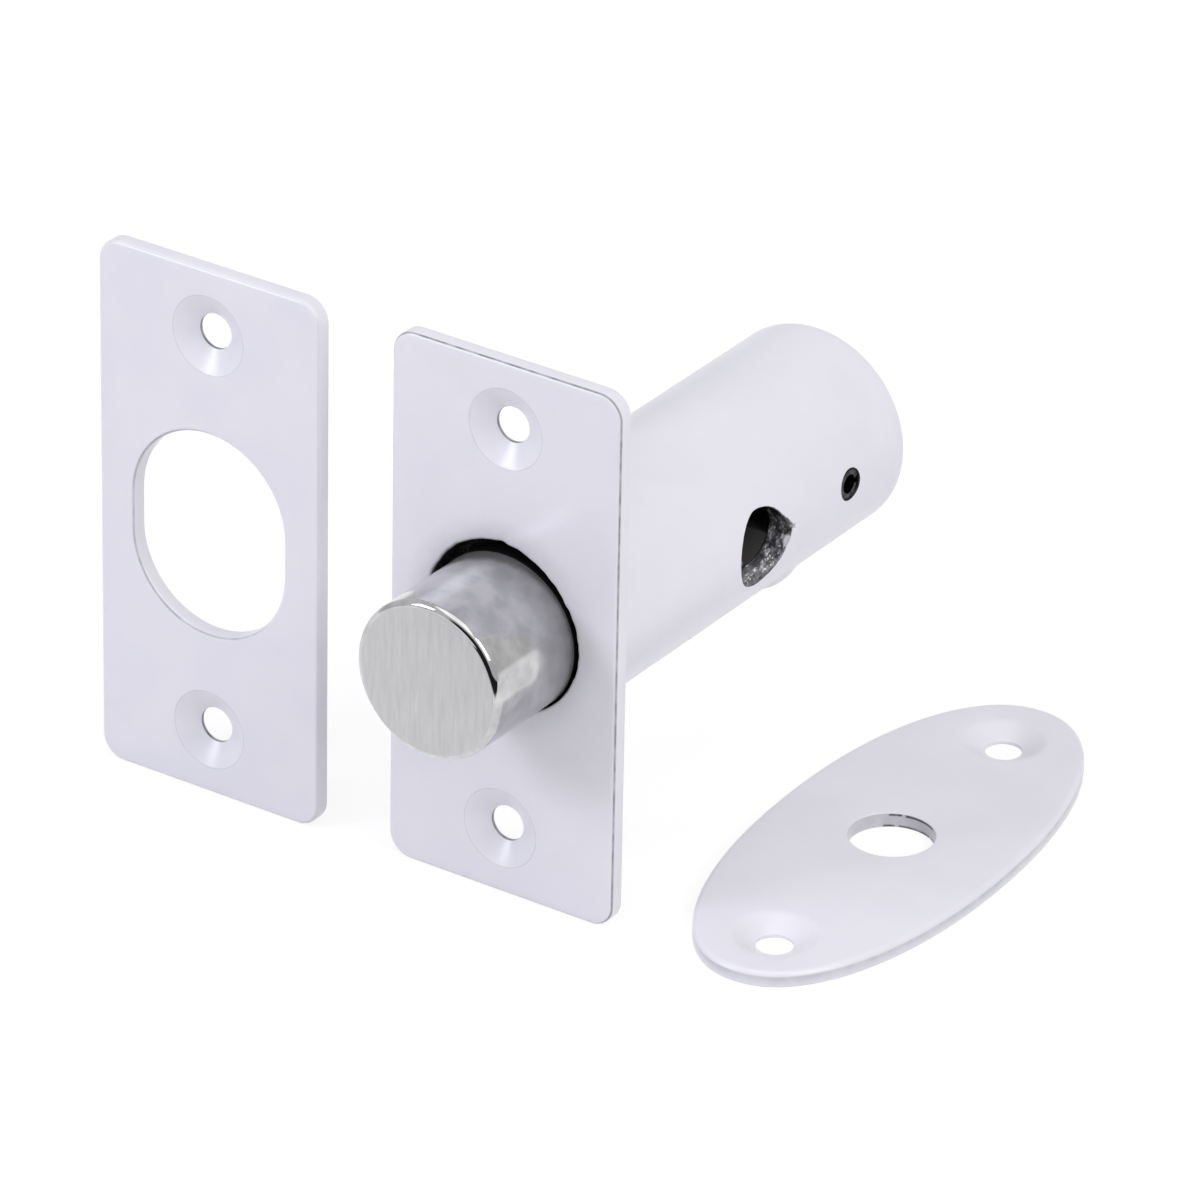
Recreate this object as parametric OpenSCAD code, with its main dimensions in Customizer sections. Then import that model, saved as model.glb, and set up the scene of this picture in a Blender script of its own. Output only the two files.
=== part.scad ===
// Rack bolt set for the edge of a door: a round bolt in a tubular housing, a forend plate,
// a strike plate and an oval key escutcheon, set out side by side on one level surface.
// The origin is the middle of the forend plate's back face, on the bolt's axis. +Y runs back
// into the housing, so the bolt is thrown towards -Y. The key goes in from +X, and +Z is up.

/* [Plates] */
// Width of the forend plate and of the strike plate
plate_w = 26.3; // [24:0.1:30]
// Height of the forend plate and of the strike plate
plate_h = 57.2; // [54:0.1:65]
// Thickness of the forend plate and of the strike plate
plate_t = 1.7; // [1.5:0.1:2.5]
// Radius of the plates' corners
corner_r = 2.5; // [2:0.1:5]
// Radius of the soft front edge of the forend plate and of the strike plate
plate_edge_r = 0.4; // [0.3:0.05:0.7]
// Distance between the two screw holes of the forend plate and of the strike plate
plate_screw_gap = 43.2; // [38:0.2:45]
// Diameter of the plates' screw holes
screw_hole_d = 3.7; // [3:0.1:4.2]
// Diameter of the countersinks at the face
countersink_d = 8.4; // [6.5:0.1:9]
// Depth of the countersinks
countersink_depth = 1.3; // [0.9:0.05:1.4]
// Gap round the bolt in the forend plate's bolt hole
forend_hole_gap = 0.75; // [0.7:0.05:1.2]
// How far the forend plate's bolt hole sits above the bolt's axis
forend_hole_raise = 0.4; // [0:0.05:0.4]
// Gap between the bolt and each flat of the strike plate's bolt hole
strike_hole_gap = 0.75; // [0.5:0.05:1.2]
// How much longer the strike plate's bolt hole is than its width
strike_hole_extra = 3.8; // [2:0.1:5]
// Width of the small chamfer round the bolt holes
hole_chamfer = 0.3; // [0.1:0.05:0.5]

/* [Housing] */
// Thickness of the housing's wall
housing_wall = 2.42; // [2.3:0.02:3]
// How far the housing runs back behind the forend plate
housing_depth = 52.7; // [50:0.1:68]
// Radius of the housing's rear outer edge
housing_edge_r = 0.8; // [0.3:0.1:1.2]
// How deep the housing's front end is let into the forend plate's back
seat_depth = 1; // [0.6:0.1:1.1]
// Depth of the step in the wall at the wider mouth of the bore
mouth_step = 1.07; // [0.5:0.01:1.2]
// How far the wider mouth of the bore runs back behind the forend plate
mouth_depth = 3.3; // [2:0.1:6]
// Diameter of the cast pad under the housing
pad_d = 5; // [4:0.5:9]
// Height of the cast pad over the housing's surface
pad_h = 0.5; // [0.3:0.05:1.2]
// Distance of the cast pad behind the forend plate
pad_y = 36.3; // [34:0.1:40]
// Angle of the cast pad below the key's side
pad_angle = 54; // [50:1:90]

/* [Bolt] */
// Diameter of the bolt
bolt_d = 16.5; // [16:0.1:17]
// How far the bolt is thrown out of the forend plate
bolt_throw = 12.5; // [8:0.1:13]
// Radius of the bolt's nose edge
nose_edge_r = 0.7; // [0.3:0.1:1.5]
// Chamfer of the bolt's tail
tail_chamfer = 0.8; // [0.3:0.1:1.2]
// Web of solid bolt behind the stop pin's slot
tail_web = 2.6; // [2:0.2:5]

/* [Key and rack] */
// Distance of the key's axis behind the forend plate
key_y = 27.6; // [26:0.1:29]
// Diameter of the keyhole in the housing and in the escutcheon
keyhole_d = 8.6; // [8.4:0.1:9]
// Outer diameter of the key that the slot in the bolt is cut for
key_d = 8.2; // [8:0.1:8.3]
// Pitch of the rack's teeth
rack_pitch = 2.6; // [2.2:0.1:3]
// Height of the rack's teeth
rack_tooth_h = 1.4; // [0.8:0.1:1.5]
// Width of a rack tooth at its tip
rack_tip_w = 0.7; // [0.4:0.1:0.8]

/* [Stop pin and spring] */
// Distance of the stop pin's axis behind the forend plate
pin_y = 42.6; // [41.5:0.1:44]
// Height of the stop pin's axis above the bolt's axis
pin_z = 0.5; // [-0.8:0.1:0.8]
// Diameter of the slotted stop pin
pin_d = 3; // [2.5:0.1:3.4]
// Wall of the slotted stop pin
pin_wall = 0.5; // [0.3:0.05:0.7]
// Width of the slot along the stop pin
pin_slot_w = 0.7; // [0.4:0.1:1]
// How far the stop pin's ends lie below the housing's surface
pin_recess = 0.2; // [0:0.05:0.5]
// Length of the bowed friction spring
leaf_len = 14; // [10:0.5:18]
// Width of the friction spring
leaf_w = 3; // [2:0.1:4]
// Thickness of the friction spring
leaf_t = 0.3; // [0.2:0.05:0.4]
// Depth of the friction spring's recess in the bolt
leaf_recess = 1.4; // [1.1:0.1:1.8]

/* [Escutcheon] */
// Length of the oval escutcheon
oval_len = 60.8; // [56:0.2:66]
// Width of the oval escutcheon
oval_w = 25.8; // [24:0.2:30]
// Thickness of the escutcheon
oval_t = 1.6; // [1.5:0.1:2.5]
// Radius of the escutcheon's soft upper edge
oval_edge_r = 0.6; // [0.3:0.05:0.9]
// Fullness of the oval: 2 is a true ellipse, and more is squarer
oval_fullness = 2.15; // [2:0.05:2.4]
// Distance between the escutcheon's two screw holes
oval_screw_gap = 45.5; // [40:0.5:47]

/* [Places of the loose plates] */
// Distance of the strike plate's middle from the bolt's axis
strike_x = 34.3; // [32:0.1:60]
// How far the strike plate's face stands forward of the forend plate's face
strike_forward = 0.8; // [-2:0.1:3]
// Distance of the escutcheon's middle from the bolt's axis
oval_x = 26.2; // [25:0.1:50]
// Distance of the escutcheon's middle behind the forend plate
oval_y = 27.7; // [20:0.1:40]
// Angle that the escutcheon is turned through, seen from above
oval_turn = 3.4; // [-10:0.1:10]

/* [Hidden] */
// Radial running clearance of the bolt in the bore
bolt_fit = 0.08;
// Radial clearance of the housing's end in the forend plate, and of the pin in its holes
seat_fit = 0.03;
// Clearance of the key in the bolt's slot
key_fit = 0.2;
// Clearance of the stop pin in the bolt's slot
pin_slot_fit = 0.1;
// Clearance of the friction spring in its recess and under the bore
leaf_fit = 0.03;
// Room at each end of the friction spring as it flattens
leaf_end_room = 0.8;
// Extra length that lets a cut pass through a surface
cut = 1;
// Width of the drill's chamfer round the stop pin's holes
pin_chamfer = 0.25;
// Points round the oval escutcheon
oval_points = 96;
// Steps round a soft edge
edge_steps = 4;
$fn = 96;
// Segments of a round inside a hull
hull_fn = 48;

bore_d = bolt_d + 2 * bolt_fit;
mouth_d = bore_d + 2 * mouth_step;
housing_d = bore_d + 2 * housing_wall;
forend_hole_d = bolt_d + 2 * forend_hole_gap;
strike_hole_w = bolt_d + 2 * strike_hole_gap;
strike_hole_len = strike_hole_w + strike_hole_extra;
nose_y = -plate_t - bolt_throw;
floor_z = -plate_h / 2;
slot_r = key_d / 2 + key_fit;
pin_slot_r = pin_d / 2 + pin_slot_fit;
pin_hole_d = pin_d + 2 * seat_fit;
key_back_y = key_y - bolt_throw;
tail_y = pin_y + pin_slot_r + tail_web;
leaf_y = (key_back_y + key_y) / 2;
leaf_top_z = sqrt(pow(bore_d / 2, 2) - pow(leaf_w / 2, 2)) - leaf_fit;
leaf_floor_z = bolt_d / 2 - leaf_recess;

// A plate lying face up: its face is at z = 0, with a soft edge round the face
module soft_plate(width, height, thickness, corner, edge) {
    hull()
        for (x = [-1, 1], y = [-1, 1])
            translate([x * (width / 2 - corner), y * (height / 2 - corner), 0])
                rotate_extrude($fn = hull_fn)
                    soft_half_section(corner, thickness, edge);
}

// Right half of a disc's section, with its upper outer corner rounded
module soft_half_section(radius, thickness, edge) {
    polygon(concat(
        [[0, 0], [0, -thickness], [radius, -thickness]],
        [for (i = [0 : edge_steps])
            let (a = 90 * i / edge_steps)
            [radius - edge + edge * cos(a), -edge + edge * sin(a)]]
    ));
}

// Two countersunk screw holes along Y, cut down from z = 0
module screw_holes(gap, thickness) {
    for (side = [-1, 1])
        translate([0, side * gap / 2, 0]) {
            translate([0, 0, -thickness - cut])
                cylinder(d = screw_hole_d, h = thickness + 2 * cut);
            translate([0, 0, -countersink_depth])
                cylinder(d1 = screw_hole_d, d2 = countersink_d, h = countersink_depth);
            cylinder(d = countersink_d, h = cut);
        }
}

// Stands a plate that lies face up, so that its face looks along -Y from a given y
module stand_up(y) {
    translate([0, y, 0])
        rotate([90, 0, 0])
            children();
}

// A revolved piece drawn with its axis along Y
module turned_along_y() {
    rotate([-90, 0, 0])
        rotate_extrude()
            children();
}

// A round that runs across the housing, along X
module across(diameter, length, y, z = 0) {
    translate([0, y, z])
        rotate([0, 90, 0])
            cylinder(d = diameter, h = length, center = true);
}

module forend_plate() {
    color("white")
        stand_up(-plate_t)
            difference() {
                soft_plate(plate_w, plate_h, plate_t, corner_r, plate_edge_r);
                screw_holes(plate_screw_gap, plate_t);
                translate([0, forend_hole_raise, -plate_t - cut])
                    cylinder(d = forend_hole_d, h = plate_t + 2 * cut);
                translate([0, 0, -plate_t - cut])
                    cylinder(d = housing_d + 2 * seat_fit, h = seat_depth + cut);
                translate([0, forend_hole_raise, -hole_chamfer])
                    cylinder(d1 = forend_hole_d, d2 = forend_hole_d + 2 * (hole_chamfer + cut), h = hole_chamfer + cut);
            }
}

module strike_plate() {
    color("white")
        translate([-strike_x, 0, 0])
            stand_up(-plate_t - strike_forward)
                difference() {
                    soft_plate(plate_w, plate_h, plate_t, corner_r, plate_edge_r);
                    screw_holes(plate_screw_gap, plate_t);
                    translate([0, 0, -plate_t - cut])
                        round_ended_hole(strike_hole_len, strike_hole_w, plate_t + 2 * cut);
                }
}

// A long hole with two upright flats and round ends
module round_ended_hole(length, width, depth) {
    linear_extrude(depth) {
        square([width, length - width], center = true);
        for (side = [-1, 1])
            translate([0, side * (length - width) / 2])
                circle(d = width);
    }
}

// Outline of the oval escutcheon, drawn in by a margin
function oval_outline(margin) = [
    for (i = [1 : oval_points])
        let (
            a = 360 * i / oval_points,
            half_w = oval_w / 2 - margin,
            half_len = oval_len / 2 - margin,
            power = 2 / oval_fullness
        )
        [half_w * sign(cos(a)) * pow(abs(cos(a)), power),
         half_len * sign(sin(a)) * pow(abs(sin(a)), power)]
];

module escutcheon() {
    skin = 0.01;
    color("white")
        translate([oval_x, oval_y, floor_z + oval_t])
            rotate([0, 0, oval_turn])
                difference() {
                    hull() {
                        translate([0, 0, -oval_t])
                            linear_extrude(skin)
                                polygon(oval_outline(0));
                        for (i = [0 : edge_steps])
                            let (a = 90 * i / edge_steps)
                            translate([0, 0, -oval_edge_r + oval_edge_r * sin(a) - skin])
                                linear_extrude(skin)
                                    polygon(oval_outline(oval_edge_r - oval_edge_r * cos(a)));
                    }
                    screw_holes(oval_screw_gap, oval_t);
                    translate([0, 0, -oval_t - cut])
                        cylinder(d = keyhole_d, h = oval_t + 2 * cut);
                }
}

module housing() {
    front_y = -seat_depth;
    mouth_cone = (mouth_d - bore_d) / 2;
    color("white")
        difference() {
            union() {
                turned_along_y()
                    housing_section(front_y);
                cast_pad();
            }
            turned_along_y()
                translate([0, front_y - cut])
                    square([bore_d / 2, housing_depth - front_y + 2 * cut]);
            turned_along_y()
                polygon([
                    [0, front_y - cut],
                    [mouth_d / 2, front_y - cut],
                    [mouth_d / 2, mouth_depth - mouth_cone],
                    [bore_d / 2, mouth_depth],
                    [0, mouth_depth]
                ]);
            translate([housing_d / 2, key_y, 0])
                rotate([0, 90, 0])
                    cylinder(d = keyhole_d, h = housing_d, center = true);
            across(pin_hole_d, housing_d + 2 * cut, pin_y, pin_z);
            for (side = [-1, 1])
                translate([side * housing_d / 2, pin_y, pin_z])
                    rotate([0, side * 90, 0])
                        translate([0, 0, -pin_chamfer])
                            cylinder(d1 = pin_hole_d, d2 = pin_hole_d + 4 * pin_chamfer, h = 2 * pin_chamfer);
        }
}

// Half section of the housing before it is bored, with a round edge at its rear
module housing_section(front_y) {
    radius = housing_d / 2;
    square_end = housing_depth - housing_edge_r;
    translate([0, front_y])
        square([radius, square_end - front_y]);
    translate([0, front_y])
        square([radius - housing_edge_r, housing_depth - front_y]);
    translate([radius - housing_edge_r, square_end])
        circle(r = housing_edge_r);
}

// Low domed pad that the casting has under its side
module cast_pad() {
    dome_r = (pow(pad_d / 2, 2) + pow(pad_h, 2)) / (2 * pad_h);
    rotate([0, pad_angle, 0])
        translate([housing_d / 2, pad_y, 0])
            rotate([0, 90, 0])
                intersection() {
                    translate([0, 0, pad_h - dome_r])
                        sphere(r = dome_r);
                    translate([0, 0, -pad_h])
                        cylinder(d = pad_d, h = 2 * pad_h);
                }
}

module bolt() {
    color("silver")
        difference() {
            turned_along_y()
                bolt_section();
            key_slot();
            pin_slot();
            leaf_pocket();
        }
}

// Half section of the bolt: a round nose edge at the front and a chamfer at the tail
module bolt_section() {
    radius = bolt_d / 2;
    polygon([
        [0, nose_y + nose_edge_r],
        [radius, nose_y + nose_edge_r],
        [radius, tail_y - tail_chamfer],
        [radius - tail_chamfer, tail_y],
        [0, tail_y]
    ]);
    translate([0, nose_y])
        square([radius - nose_edge_r, 2 * nose_edge_r]);
    translate([radius - nose_edge_r, nose_y + nose_edge_r])
        circle(r = nose_edge_r);
}

// Slot that runs across the bolt between two round ends, as milled from +X
module slot_across(radius, from_y, to_y, z = 0) {
    across(2 * radius, bolt_d + 2 * cut, from_y, z);
    across(2 * radius, bolt_d + 2 * cut, to_y, z);
    translate([-bolt_d / 2 - cut, from_y, z - radius])
        cube([bolt_d + 2 * cut, to_y - from_y, 2 * radius]);
}

// Slot for the key, less the rack's teeth along its lower side
module key_slot() {
    difference() {
        slot_across(slot_r, key_back_y, key_y);
        rack_teeth();
    }
}

// Teeth of the rack that the key turns against, from one round end of the slot to the other
module rack_teeth() {
    teeth = floor((key_y - key_back_y + slot_r) / rack_pitch);
    first_y = (key_back_y + key_y - (teeth - 1) * rack_pitch) / 2;
    root_w = rack_pitch - rack_tip_w;
    for (i = [0 : teeth - 1])
        translate([0, first_y + i * rack_pitch, -slot_r])
            rotate([90, 0, 90])
                linear_extrude(bolt_d + 4 * cut, center = true)
                    polygon([
                        [-root_w / 2, -cut],
                        [-root_w / 2, 0],
                        [-rack_tip_w / 2, rack_tooth_h],
                        [rack_tip_w / 2, rack_tooth_h],
                        [root_w / 2, 0],
                        [root_w / 2, -cut]
                    ]);
}

// Narrow slot that slides along the stop pin and stops the bolt when it is thrown
module pin_slot() {
    slot_across(pin_slot_r, key_y, pin_y, pin_z);
}

// Flat-bottomed recess in the bolt's top for the friction spring
module leaf_pocket() {
    length = leaf_len + 2 * leaf_end_room;
    width = leaf_w + 2 * leaf_fit;
    translate([-width / 2, leaf_y - length / 2, leaf_floor_z])
        cube([width, length, leaf_recess + cut]);
}

// Bowed strip of spring steel: its ends stand in the recess and its crown bears on the bore
module friction_spring() {
    rise = leaf_top_z - leaf_floor_z - leaf_fit - leaf_t;
    bow_r = (pow(leaf_len / 2, 2) + pow(rise, 2)) / (2 * rise);
    color("lightgray")
        translate([0, leaf_y, leaf_top_z - leaf_t - bow_r])
            rotate([90, 0, 90])
                linear_extrude(leaf_w, center = true)
                    intersection() {
                        difference() {
                            circle(r = bow_r + leaf_t, $fn = 720);
                            circle(r = bow_r, $fn = 720);
                        }
                        translate([-leaf_len / 2, bow_r - rise])
                            square([leaf_len, rise + leaf_t + cut]);
                    }
}

// Slotted tubular pin pressed through both walls of the housing
module stop_pin() {
    length = housing_d - 2 * pin_recess;
    color("gray")
        difference() {
            across(pin_d, length, pin_y, pin_z);
            across(pin_d - 2 * pin_wall, length + 2 * cut, pin_y, pin_z);
            translate([-length / 2 - cut, pin_y, pin_z - pin_slot_w / 2])
                cube([length + 2 * cut, pin_d, pin_slot_w]);
        }
}

housing();
forend_plate();
bolt();
stop_pin();
friction_spring();
strike_plate();
escutcheon();
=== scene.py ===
import math

import bmesh
import bpy
from mathutils import Matrix, Vector, geometry, kdtree, noise


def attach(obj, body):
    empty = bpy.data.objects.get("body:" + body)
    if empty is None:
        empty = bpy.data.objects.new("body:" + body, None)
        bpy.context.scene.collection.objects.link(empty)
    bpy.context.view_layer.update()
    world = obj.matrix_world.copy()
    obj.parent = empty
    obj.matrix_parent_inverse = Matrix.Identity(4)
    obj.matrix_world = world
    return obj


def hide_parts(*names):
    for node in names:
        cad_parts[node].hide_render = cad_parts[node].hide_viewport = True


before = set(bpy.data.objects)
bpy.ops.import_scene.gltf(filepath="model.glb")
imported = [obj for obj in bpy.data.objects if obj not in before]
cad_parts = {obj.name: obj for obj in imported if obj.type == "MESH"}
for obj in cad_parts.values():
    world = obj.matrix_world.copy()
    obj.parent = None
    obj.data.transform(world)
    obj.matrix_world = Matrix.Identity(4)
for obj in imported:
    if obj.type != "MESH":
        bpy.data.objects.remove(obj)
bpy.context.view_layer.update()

# The housing is a die-cast tube with a drilled keyhole on the key's side and a cross hole for
# the stop pin. It is powder coated white before the keyhole is drilled, so the hole's wall is
# bare and torn metal, with a flake of the coating folded in behind.
MM = 0.001
HOUSING_R = 10.75
BORE_R = 8.33
MOUTH_R = 9.4
SEAT_DEPTH = 1.0
MOUTH_DEPTH = 3.3
HOUSING_DEPTH = 52.7
HOUSING_EDGE_R = 0.8
KEY_Y = 27.6
KEYHOLE_R = 4.3
PIN_Y = 42.6
PIN_Z = 0.5
PIN_HOLE_R = 1.53
PAD_Y = 36.3
PAD_ANGLE = math.radians(-54)
PAD_R = 2.5
PAD_H = 0.5
MOUTH_BREAK = 0.15
ROUND_STEPS = 144
SIDE_STEPS = 50
SEAM_ANGLE = math.radians(-150)
SHEET_SPACING = 1.0
# The shares of the spacing that a sheet's points keep from its loops and from its extra points.
SHEET_CLEAR = 0.45
EXTRA_CLEAR = 0.5
MERGE = 0.002


def fillet(corners, steps=5):
    """A path of (inset, depth) points, whose corners are rounded by the radius given third."""
    path = []
    for i, corner in enumerate(corners):
        point = Vector(corner[:2])
        if len(corner) < 3:
            path.append(point)
            continue
        back = (Vector(corners[i - 1][:2]) - point).normalized()
        ahead = (Vector(corners[i + 1][:2]) - point).normalized()
        half = back.angle(ahead) / 2
        centre = point + (back + ahead).normalized() * corner[2] / math.sin(half)
        first = point + back * corner[2] / math.tan(half) - centre
        last = point + ahead * corner[2] / math.tan(half) - centre
        turn = math.atan2(first.x * last.y - first.y * last.x, first.dot(last))
        start = math.atan2(first.y, first.x)
        for step in range(steps + 1):
            a = start + turn * step / steps
            path.append(centre + corner[2] * Vector((math.cos(a), math.sin(a))))
    return path


def coated(ring, turn):
    """Nought everywhere: the coating is neither thin nor missing."""
    return 0


def add_wall(mesh, rings, bare_and_painted_light=coated, metal=coated):
    """Quads between closed rings of points. The third argument gives how thin the coating is at a
    ring and a turn round it from 0 to 1, where some dark lines are painted shade, or on bare metal
    how bright the metal is drawn, which on the keyhole's wall is painted light. metal gives whether
    the quads behind that ring have no coating."""
    layer = mesh.verts.layers.float.get("bare_and_painted_light") or mesh.verts.layers.float.new("bare_and_painted_light")
    rows = []
    for i, ring in enumerate(rings):
        row = [mesh.verts.new(point * MM) for point in ring]
        for j, vert in enumerate(row):
            vert[layer] = bare_and_painted_light(i, j / len(row))
        rows.append(row)
    for level, (row, following) in enumerate(zip(rows, rows[1:])):
        for i in range(len(row)):
            j = (i + 1) % len(row)
            face = mesh.faces.new((row[i], row[j], following[j], following[i]))
            face.material_index = int(metal(level, i / len(row)))


def inside(loop, point):
    """Whether a point lies in a closed loop of 2D points."""
    crossed = False
    for a, b in zip(loop, loop[1:] + loop[:1]):
        if (a.y > point.y) != (b.y > point.y):
            if point.x < a.x + (point.y - a.y) / (b.y - a.y) * (b.x - a.x):
                crossed = not crossed
    return crossed


def fill_sheet(mesh, loops, place, spacing, extra=(), skin=0):
    """A sheet of triangles inside the first loop and outside the others. The extra points come
    before the even ones, and skin is the number of its material."""
    points = [point for loop in loops for point in loop]
    near = kdtree.KDTree(len(points))
    for i, point in enumerate(points):
        near.insert(point.to_3d(), i)
    near.balance()
    low = Vector(map(min, *loops[0]))
    high = Vector(map(max, *loops[0]))
    columns = max(1, round((high.x - low.x) / spacing))
    rows = max(1, round((high.y - low.y) / spacing))
    grid = [Vector((low.x + (high.x - low.x) * i / columns, low.y + (high.y - low.y) * j / rows))
            for i in range(1, columns) for j in range(1, rows)]
    grid = list(extra) + [p for p in grid if all((p - q).length > EXTRA_CLEAR * spacing for q in extra)]
    solid = lambda p: inside(loops[0], p) and not any(inside(hole, p) for hole in loops[1:])
    grid = [p for p in grid if near.find(p.to_3d())[2] > SHEET_CLEAR * spacing and solid(p)]
    edges, start = [], 0
    for loop in loops:
        count = len(loop)
        edges += [(start + i, start + (i + 1) % count) for i in range(count)]
        start += count
    verts, _, faces, *_ = geometry.delaunay_2d_cdt(points + grid, edges, [], 0, 1e-7, False)
    made = [mesh.verts.new(place(vert) * MM) for vert in verts]
    for face in faces:
        if solid(sum((verts[i] for i in face), Vector((0, 0))) / len(face)):
            mesh.faces.new([made[i] for i in face]).material_index = skin


def finished(mesh, name, *materials):
    """The closed, smooth mesh as an object at the origin."""
    bmesh.ops.delete(mesh, geom=[v for v in mesh.verts if not v.link_faces], context="VERTS")
    bmesh.ops.remove_doubles(mesh, verts=mesh.verts, dist=MERGE * MM)
    bmesh.ops.recalc_face_normals(mesh, faces=mesh.faces)
    for face in mesh.faces:
        face.smooth = True
    data = bpy.data.meshes.new(name)
    mesh.to_mesh(data)
    mesh.free()
    for material in materials:
        data.materials.append(material)
    piece = bpy.data.objects.new(name, data)
    bpy.context.scene.collection.objects.link(piece)
    return piece


def on_tube(angle, y, radius):
    return Vector((radius * math.cos(angle), y, radius * math.sin(angle)))


def tube_points(rings):
    return [[on_tube(*point) for point in ring] for ring in rings]


def pad_height(angle, y):
    """How far the cast pad stands over the tube there."""
    away = math.hypot((angle - PAD_ANGLE) * HOUSING_R, y - PAD_Y)
    dome_r = (PAD_R ** 2 + PAD_H ** 2) / (2 * PAD_H)
    dome = math.sqrt(max(0, dome_r ** 2 - away ** 2)) - (dome_r - PAD_H)
    return max(0, dome)


KEYHOLE_STEPS = 192
KEYHOLE_EDGE_R = 0.12
PIN_HOLE_STEPS = 48
PIN_HOLE_EDGE_R = 0.18
BREAK_R = 0.05
RING_GAP = 0.15
TEAR = 0.3
TEAR_SIDE = -0.5
TEAR_ALL_ROUND = 0.25
TEAR_AT_EDGE = 0.35
FULL_TEAR_DEPTH = 0.6
COARSE_TEARS = 3
FINE_TEARS = 9
FINE_SHARE = 0.7
SLIP_W = 0.2
SLIP_TAPER = 0.4
# Where the drill slipped: angles round the keyhole in radians, and how far its edge is off there.
SLIP = ((-0.35, 0), (0.08, 0.45), (0.2, 0.1), (0.44, -0.42), (0.66, -0.6), (0.92, -0.58),
        (1.36, -0.45), (1.9, 0))


def slipped(a):
    """How far the keyhole's edge is off its round: a chord across its upper rear with a spur."""
    for (first, low), (last, high) in zip(SLIP, SLIP[1:]):
        if first <= a <= last:
            return low + (high - low) * (a - first) / (last - first)
    return 0


def tube_hole(centre_y, centre_z, radius, side, count, corners, tear=0):
    """A drilled hole's rings on the tube, from its outside to its bore. A torn one is rough, most
    of all behind and below, and its edge slipped."""
    rings = []
    for inset, depth in fillet(corners, 4):
        ring = []
        for i in range(count):
            a = 2 * math.pi * i / count
            way = Vector((math.cos(a), math.sin(a), depth * 0.5))
            rough = noise.noise(COARSE_TEARS * way) + FINE_SHARE * noise.noise(FINE_TEARS * way)
            rough *= tear * (TEAR_ALL_ROUND + (1 - TEAR_ALL_ROUND) * max(0, math.cos(a - TEAR_SIDE)))
            hole_r = radius + inset + rough * min(1, TEAR_AT_EDGE + depth / FULL_TEAR_DEPTH)
            if tear and inset < SLIP_W:
                off = slipped((a + math.pi) % (2 * math.pi) - math.pi)
                hole_r += off * (1 - SLIP_TAPER * depth)
            z = centre_z + hole_r * math.sin(a)
            y = centre_y + hole_r * math.cos(a)
            tube_r = HOUSING_R - depth
            angle = math.asin(z / tube_r)
            ring.append((angle if side > 0 else math.pi - angle, y, tube_r))
        rings.append(ring)
    return rings


wall = HOUSING_R - BORE_R
keyhole_profile = [(0.5, 0), (0, 0, KEYHOLE_EDGE_R)]
keyhole_profile += [(0, RING_GAP * i) for i in range(2, 15)]
keyhole_profile += [(0, wall, BREAK_R), (0.4, wall)]
keyhole = tube_hole(KEY_Y, 0, KEYHOLE_R, 1, KEYHOLE_STEPS, keyhole_profile, TEAR)
pin_profile = [(0.5, 0), (0, 0, PIN_HOLE_EDGE_R), (0, wall, BREAK_R), (0.3, wall)]
pin_holes = [tube_hole(PIN_Y, PIN_Z, PIN_HOLE_R, side, PIN_HOLE_STEPS, pin_profile) for side in (1, -1)]
angles = [SEAM_ANGLE + 2 * math.pi * i / ROUND_STEPS for i in range(ROUND_STEPS)]


def unrolled(ring):
    return [Vector((angle * HOUSING_R, y)) for angle, y, _ in ring]


def tube_sheet(mesh, low, high, holes, radius_at, extra=(), skin=0):
    """One wall of the tube between two places along it, with its holes left open. It is laid out
    unrolled and starts and ends at a seam."""
    ends = [Vector((a * HOUSING_R, low)) for a in angles + [angles[0] + 2 * math.pi]]
    far = [Vector((p.x, high)) for p in reversed(ends)]
    side = [low + (high - low) * i / SIDE_STEPS for i in range(1, SIDE_STEPS)]
    right = [Vector((ends[-1].x, y)) for y in side]
    left = [Vector((ends[0].x, y)) for y in reversed(side)]
    rolled = lambda p: on_tube(p.x / HOUSING_R, p.y, radius_at(p.x / HOUSING_R, p.y))
    loops = [ends + right + far + left] + [unrolled(hole) for hole in holes]
    fill_sheet(mesh, loops, rolled, SHEET_SPACING, extra, skin)


housing_mesh = bmesh.new()
pad_points = []
for r in (0.6, 1.2, 1.8, 2.2, PAD_R, 2.8, 3.2):
    count = round(8 + 7 * r)
    for a in [2 * math.pi * i / count for i in range(count)]:
        pad_points.append(Vector((PAD_ANGLE * HOUSING_R + r * math.cos(a), PAD_Y + r * math.sin(a))))
rear_start = HOUSING_DEPTH - HOUSING_EDGE_R
tube_sheet(housing_mesh, -SEAT_DEPTH, rear_start, [keyhole[0]] + [hole[0] for hole in pin_holes],
           lambda angle, y: HOUSING_R + pad_height(angle, y), pad_points)
tube_sheet(housing_mesh, MOUTH_DEPTH, rear_start, [keyhole[-1]] + [hole[-1] for hole in pin_holes],
           lambda angle, y: BORE_R, (), 1)
PAINTED_LIGHT_SIDE = -1.75
FLAKE_TURNS = (0.93, 0.972)
BURR_TURNS = (0.005, 0.22)
FIRST_TORN_RING = 4


def painted_wall_light(turn):
    """Painted light on the torn wall at a turn round the keyhole: lightest below, where the wall faces up
    to the lamps, and darkest above.
    """
    return 0.6 + 0.6 * math.cos(2 * math.pi * turn - PAINTED_LIGHT_SIDE)


def flake(ring, turn):
    """Whether a flake of coating, folded in over the keyhole's rear rim, lies there."""
    return FLAKE_TURNS[0] < turn < FLAKE_TURNS[1] and ring < 9 + 2 * math.sin(60 * turn)


def burr(ring, turn):
    """Whether the bare lip that the drill threw up across the upper rear lies there."""
    return BURR_TURNS[0] < turn < BURR_TURNS[1] and 1 < ring < 8


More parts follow.
